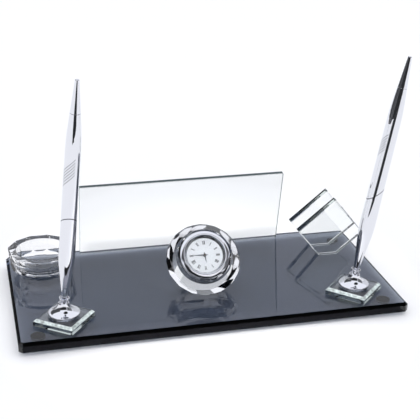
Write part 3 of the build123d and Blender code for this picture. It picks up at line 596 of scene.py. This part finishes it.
bezel_ring = turned_ring("turned_clock_bezel", table_centre, BEZEL_PROFILE, BEZEL_STEPS, BEZEL_SHARP_ANGLE)
bezel = add_object("turned_clock_bezel", bezel_ring, chrome)
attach(bezel, "clock_insert")
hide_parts("clock_bezel")


# Stage, light and camera


def matt_paper(name, tone):
    """Matt paper: no gloss, and a fibre grain, drawn 2 mm across, coarser than a real one."""
    material, tree, output, place = new_material(name)
    fibre = add_node(tree, "ShaderNodeTexNoise", {"Vector": place, "Scale": 1 / (2 * MM), "Detail": 3.0})
    bump = add_node(
        tree,
        "ShaderNodeBump",
        {"Height": fibre.outputs["Fac"], "Strength": 0.05, "Distance": 0.02 * MM},
    )
    shader = add_node(
        tree,
        "ShaderNodeBsdfPrincipled",
        {"Base Color": colour(tone), "Roughness": 0.9, "Normal": bump.outputs["Normal"]},
    )
    tree.links.new(shader.outputs["BSDF"], output.inputs["Surface"])
    return material


def stage_sheet(name, corners, material):
    """Flat sheet of paper or card on the stage."""
    mesh = bpy.data.meshes.new(name)
    mesh.from_pydata(corners, [], [range(len(corners))])
    sheet = add_object(name, mesh, material)
    return sheet


SWEEP_RADIUS = 6.0
sweep_turns = [math.radians(angle) for angle in range(0, 360, 5)]
stage_sheet(
    "paper_sweep",
    [(SWEEP_RADIUS * math.cos(turn), SWEEP_RADIUS * math.sin(turn), 0) for turn in sweep_turns],
    matt_paper("matt_white_paper", "F7F6F3"),
)

# Dark cards on the floor, seen in reflections and through glass only, are painted shade: one for the unlit floor
# where the tent opens at the front, and two for the floor shaded along the base's front edge, grey nearer and
# black beyond
OPENING_START = 0.42
OPENING_HALF_ANGLE = 22
OPENING_HEIGHT = 0.5 * MM
CARD_HALF_WIDTH = 0.139
CARD_HEIGHT = 0.4 * MM
# Painted shade: black and grey tones of the shaded floor, seen only in reflections
shade_card_black = matt_paper("matt_black_shade_card", "0A0A0C")
shade_card_grey = matt_paper("matt_grey_shade_card", "8E8E96")

opening = []
for distance, turn in (
    (OPENING_START, -OPENING_HALF_ANGLE),
    (SWEEP_RADIUS, -OPENING_HALF_ANGLE),
    (SWEEP_RADIUS, OPENING_HALF_ANGLE),
    (OPENING_START, OPENING_HALF_ANGLE),
):
    way = front_way * math.cos(math.radians(turn)) + side_way * math.sin(math.radians(turn))
    opening.append(way * distance + Vector((0, 0, OPENING_HEIGHT)))
painted_shade_cards = [stage_sheet("painted_shade_opening_card", opening, shade_card_black)]
for name, near, far, material in (
    ("painted_shade_front_near", -0.0705, -0.086, shade_card_grey),
    ("painted_shade_front_far", -0.086, -0.100, shade_card_black),
):
    corners = [
        (-CARD_HALF_WIDTH, far, CARD_HEIGHT),
        (CARD_HALF_WIDTH, far, CARD_HEIGHT),
        (CARD_HALF_WIDTH, near, CARD_HEIGHT),
        (-CARD_HALF_WIDTH, near, CARD_HEIGHT),
    ]
    painted_shade_cards.append(stage_sheet(name, corners, material))
for card in painted_shade_cards:
    card.visible_camera = False
    card.visible_diffuse = False
    card.visible_shadow = False

# Dark sides of the tent: the middle in degrees from the front, the half width in degrees, the sine of the
# angle they reach up to, and how dark they are. They fade out over the degrees and the sine given below.
DARK_SIDES = (
    (0, 50, 0.40, 0.97),
    (-103, 48, 0.60, 0.92),
    (95, 32, 0.50, 0.85),
    (180, 180, 0.17, 0.35),
    (180, 40, 0.50, 0.25),
)
SIDE_FADE = 6
HEIGHT_FADE = 0.05

# Dark round opening overhead, which the clock's lens and the base's front bevel mirror: the way to its
# middle, the degrees from there at which its edge starts and ends, and how dark it is
CEILING_WAY = Vector((0.20, -0.46, 0.86)).normalized()
CEILING_EDGE = (16, 21)
CEILING_DARKNESS = 0.97

# Matt surfaces get an even light instead, this many times as bright as the tent
MATT_SHARE = 1.17


def light_tent(name, brightness):
    """White tent round the stand, with dark sides and a dark opening, which the glass and chrome mirror."""
    world = bpy.data.worlds.new(name)
    bpy.context.scene.world = world
    world.use_nodes = True
    tree = world.node_tree
    tree.nodes.clear()
    way = add_node(tree, "ShaderNodeTexCoord").outputs["Generated"]
    parts = []
    for direction in (front_way, side_way, (0, 0, 1), CEILING_WAY):
        part = add_node(tree, "ShaderNodeVectorMath", {0: way, 1: direction}, operation="DOT_PRODUCT")
        parts.append(part.outputs["Value"])
    to_front, to_side, up, to_ceiling = parts
    turn = add_node(tree, "ShaderNodeMath", {0: to_side, 1: to_front}, operation="ARCTAN2").outputs[0]
    shade = add_node(
        tree,
        "ShaderNodeMapRange",
        {
            "Value": to_ceiling,
            "From Min": math.cos(math.radians(CEILING_EDGE[1])),
            "From Max": math.cos(math.radians(CEILING_EDGE[0])),
            "To Max": CEILING_DARKNESS,
        },
        interpolation_type="SMOOTHSTEP",
    ).outputs["Result"]
    for middle, half_angle, top, darkness in DARK_SIDES:
        offset = add_node(
            tree, "ShaderNodeMath", {0: turn, 1: math.radians(middle)}, operation="SUBTRACT"
        ).outputs[0]
        wrapped = add_node(
            tree, "ShaderNodeMath", {0: offset, 1: math.pi, 2: -math.pi}, operation="WRAP"
        ).outputs[0]
        around = add_node(tree, "ShaderNodeMath", {0: wrapped}, operation="ABSOLUTE").outputs[0]
        inside = add_node(
            tree,
            "ShaderNodeMapRange",
            {
                "Value": around,
                "From Min": math.radians(half_angle),
                "From Max": math.radians(half_angle + SIDE_FADE),
                "To Min": darkness,
                "To Max": 0.0,
            },
            interpolation_type="SMOOTHSTEP",
        ).outputs["Result"]
        below = add_node(
            tree,
            "ShaderNodeMapRange",
            {"Value": up, "From Min": top, "From Max": top + HEIGHT_FADE, "To Min": 1.0, "To Max": 0.0},
            interpolation_type="SMOOTHSTEP",
        ).outputs["Result"]
        side = add_node(tree, "ShaderNodeMath", {0: inside, 1: below}, operation="MULTIPLY").outputs[0]
        shade = add_node(tree, "ShaderNodeMath", {0: shade, 1: side}, operation="MAXIMUM").outputs[0]
    tent = add_node(
        tree, "ShaderNodeMath", {0: shade, 1: -brightness, 2: brightness}, operation="MULTIPLY_ADD"
    ).outputs[0]
    matt = add_node(tree, "ShaderNodeLightPath").outputs["Is Diffuse Ray"]
    light = add_node(
        tree, "ShaderNodeMapRange", {"Value": matt, "To Min": tent, "To Max": brightness * MATT_SHARE}
    ).outputs["Result"]
    background = add_node(tree, "ShaderNodeBackground", {"Color": colour("F1F3FB"), "Strength": light})
    output = add_node(tree, "ShaderNodeOutputWorld")
    tree.links.new(background.outputs["Background"], output.inputs["Surface"])


light_tent("white_light_tent", 1.15)

# Soft lamp that opens up the dial, from above it, and leaves no patch in the reflections
LAMP_DISTANCE = 0.6
lamp_way = (dial_normal * 0.9 + Vector((-0.1, 0, 0.25))).normalized()
lamp_data = bpy.data.lights.new("dial_soft_lamp", "SPOT")
lamp_data.energy = 60.0
lamp_data.spot_size = math.radians(9)
lamp_data.spot_blend = 0.6
lamp_data.shadow_soft_size = 0.12
lamp = bpy.data.objects.new("dial_soft_lamp", lamp_data)
bpy.context.scene.collection.objects.link(lamp)
lamp.location = dial_face + lamp_way * LAMP_DISTANCE
lamp.rotation_euler = lamp_way.to_track_quat("Z", "Y").to_euler()
lamp.visible_glossy = False
lamp.visible_transmission = False

# Camera solved from the base's corners in the photo: its place, and its turns in radians
CAMERA_PLACE = (-0.162735, -0.658674, 0.350447)
CAMERA_YAW = 0.2525
CAMERA_PITCH = 0.3966
CAMERA_ROLL = 0.0196
camera_data = bpy.data.cameras.new("camera")
camera_data.lens = 85.85
camera_data.sensor_width = 36.0
camera_data.clip_start = 0.01
camera = bpy.data.objects.new("camera", camera_data)
bpy.context.scene.collection.objects.link(camera)
camera.matrix_world = (
    Matrix.Translation(CAMERA_PLACE)
    @ Matrix.Rotation(-CAMERA_YAW, 4, "Z")
    @ Matrix.Rotation(math.pi / 2 - CAMERA_PITCH, 4, "X")
    @ Matrix.Rotation(CAMERA_ROLL, 4, "Z")
)
bpy.context.scene.camera = camera
bpy.context.scene.view_settings.view_transform = "Standard"
